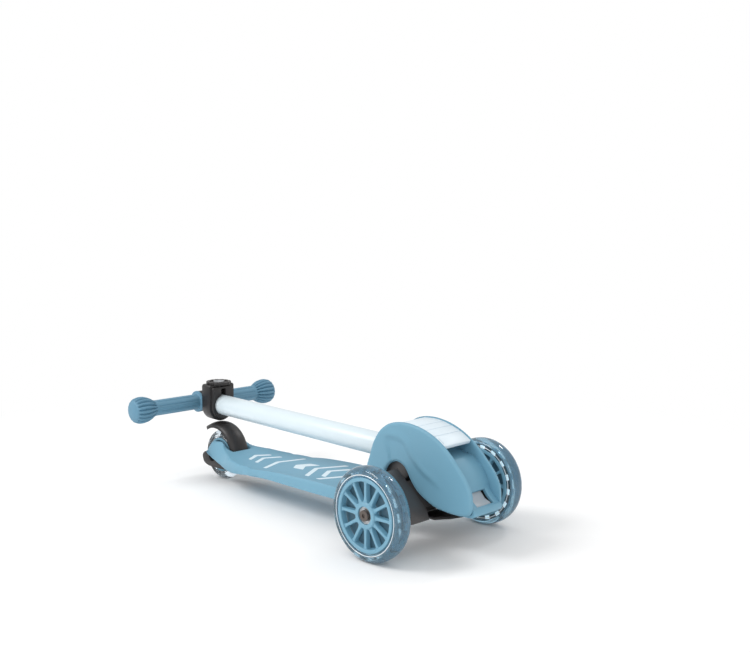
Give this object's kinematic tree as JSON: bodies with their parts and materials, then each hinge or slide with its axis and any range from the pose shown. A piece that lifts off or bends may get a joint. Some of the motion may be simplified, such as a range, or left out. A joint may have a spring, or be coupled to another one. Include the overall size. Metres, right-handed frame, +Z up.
{
  "type": "three wheel kids scooter",
  "caption": "Folding kids scooter with two front wheels, one rear wheel, lean steering, light-up wheels and a telescopic handlebar, shown with its stem folded back over the deck.",
  "frame": {"origin": "middle of the folded scooter's bounding box in X and Y, on the ground under the wheels", "axes": "+X forward along the deck, +Y to the rider's left, +Z up"},
  "size_m": [0.6199, 0.278, 0.1586],
  "materials": {
    "blue_plastic": "satin, muted blue",
    "black_plastic": "matt, charcoal",
    "white_paint": "semi-gloss, cool white",
    "white_plastic": "semi-gloss, cool white",
    "zinc_steel": "zinc plated",
    "dark_steel": "blackened",
    "anodised_tube": "satin anodised",
    "clear_tyre": "clear, bluish, glossy",
    "smoke_tyre": "clear, smoke grey, glossy",
    "lamp_plastic": "white, glossy",
    "pale_plastic": "satin, light grey",
    "blue_rubber": "matt, muted blue",
    "black_rubber": "matt",
    "steering_rubber": "matt, grey",
    "magnet": "nickel plated"
  },
  "bodies": {
    "chassis": {"deck_board": "blue_plastic", "rear_bracket": "black_plastic", "rear_axle": "zinc_steel", "rear_magnet": "magnet", "brake_pin": "zinc_steel", "brake_spring": "zinc_steel", "chassis_frame": "black_plastic", "housing_right": "blue_plastic", "housing_left": "blue_plastic", "nose_channel": "blue_plastic", "belly_cover": "black_plastic", "fold_pin": "zinc_steel", "fold_bumper": "black_rubber", "housing_screws": "zinc_steel", "deck_screws": "zinc_steel", "steer_bolt": "zinc_steel", "steer_nut": "zinc_steel", "steer_pads": "steering_rubber", "lever_pin": "zinc_steel", "catch_pin": "zinc_steel", "latch_springs": "zinc_steel"},
    "truck": {"truck_beam": "black_plastic", "steer_bush": "pale_plastic", "front_axle_bolts": "dark_steel", "axle_spacers": "zinc_steel", "front_magnets": "magnet"},
    "wheel_right": {"wheel_core_right": "blue_plastic", "tyre_right": "clear_tyre", "lamp_ring_right": "blue_plastic", "lamps_right": "lamp_plastic", "bearings_right": "zinc_steel"},
    "wheel_left": {"wheel_core_left": "blue_plastic", "tyre_left": "clear_tyre", "lamp_ring_left": "blue_plastic", "lamps_left": "lamp_plastic", "bearings_left": "zinc_steel"},
    "rear_wheel": {"rear_core": "blue_plastic", "rear_tyre": "smoke_tyre", "rear_lamp_ring": "black_plastic", "rear_lamps": "lamp_plastic", "rear_bearings": "zinc_steel"},
    "brake": {"brake_fender": "black_plastic", "brake_pad": "zinc_steel"},
    "stem": {"stem_knuckle": "black_plastic", "stem_tube": "white_paint", "tube_clamp": "black_plastic", "clamp_nut": "zinc_steel", "guide_bush": "pale_plastic"},
    "knob": {"lock_knob": "black_plastic", "knob_bolt": "zinc_steel"},
    "handlebar": {"inner_tube": "anodised_tube", "slide_shoe": "pale_plastic", "bar_head": "black_plastic", "bar_screws": "zinc_steel", "crossbar": "anodised_tube", "grip_right": "blue_rubber", "grip_left": "blue_rubber"},
    "release": {"release_lever": "white_plastic", "lock_pawl": "zinc_steel"},
    "catch": {"safety_catch": "pale_plastic"}
  },
  "joints": [
    {"name": "lean_steer", "type": "hinge", "parent": "chassis", "child": "truck", "pos_m": [0.21396, 0, 0.064], "axis": [0.7071, 0, 0.7071], "range_deg": [-9, 9], "stiffness_Nm_per_rad": 40},
    {"name": "wheel_right_spin", "type": "hinge", "parent": "truck", "child": "wheel_right", "pos_m": [0.21396, -0.1105, 0.06], "axis": [0, 1, 0], "continuous": true},
    {"name": "wheel_left_spin", "type": "hinge", "parent": "truck", "child": "wheel_left", "pos_m": [0.21396, 0.1105, 0.06], "axis": [0, 1, 0], "continuous": true},
    {"name": "rear_wheel_spin", "type": "hinge", "parent": "chassis", "child": "rear_wheel", "pos_m": [-0.23503, 0, 0.04], "axis": [0, 1, 0], "continuous": true},
    {"name": "brake_press", "type": "hinge", "parent": "chassis", "child": "brake", "pos_m": [-0.18754, 0, 0.046], "axis": [0, -1, 0], "range_deg": [0, 3.2], "stiffness_Nm_per_rad": 8, "springref_deg": -2.01},
    {"name": "stem_fold", "type": "hinge", "parent": "chassis", "child": "stem", "pos_m": [0.16897, 0, 0.113], "axis": [0, 1, 0], "range_deg": [0, 77]},
    {"name": "bar_height", "type": "slide", "parent": "stem", "child": "handlebar", "axis": [-0.9998, 0, 0.0175], "range_m": [0, 0.15]},
    {"name": "knob_turn", "type": "hinge", "parent": "stem", "child": "knob", "pos_m": [-0.25041, 0, 0.15232], "axis": [0.0175, 0, 0.9998], "range_deg": [0, 180]},
    {"name": "release_press", "type": "hinge", "parent": "chassis", "child": "release", "pos_m": [0.20897, 0, 0.145], "axis": [0, 1, 0], "range_deg": [0, 8], "stiffness_Nm_per_rad": 0.5, "springref_deg": -8.59},
    {"name": "catch_press", "type": "hinge", "parent": "chassis", "child": "catch", "pos_m": [0.27397, 0, 0.088], "axis": [0, 1, 0], "range_deg": [0, 7], "stiffness_Nm_per_rad": 0.2, "springref_deg": -8.59}
  ]
}
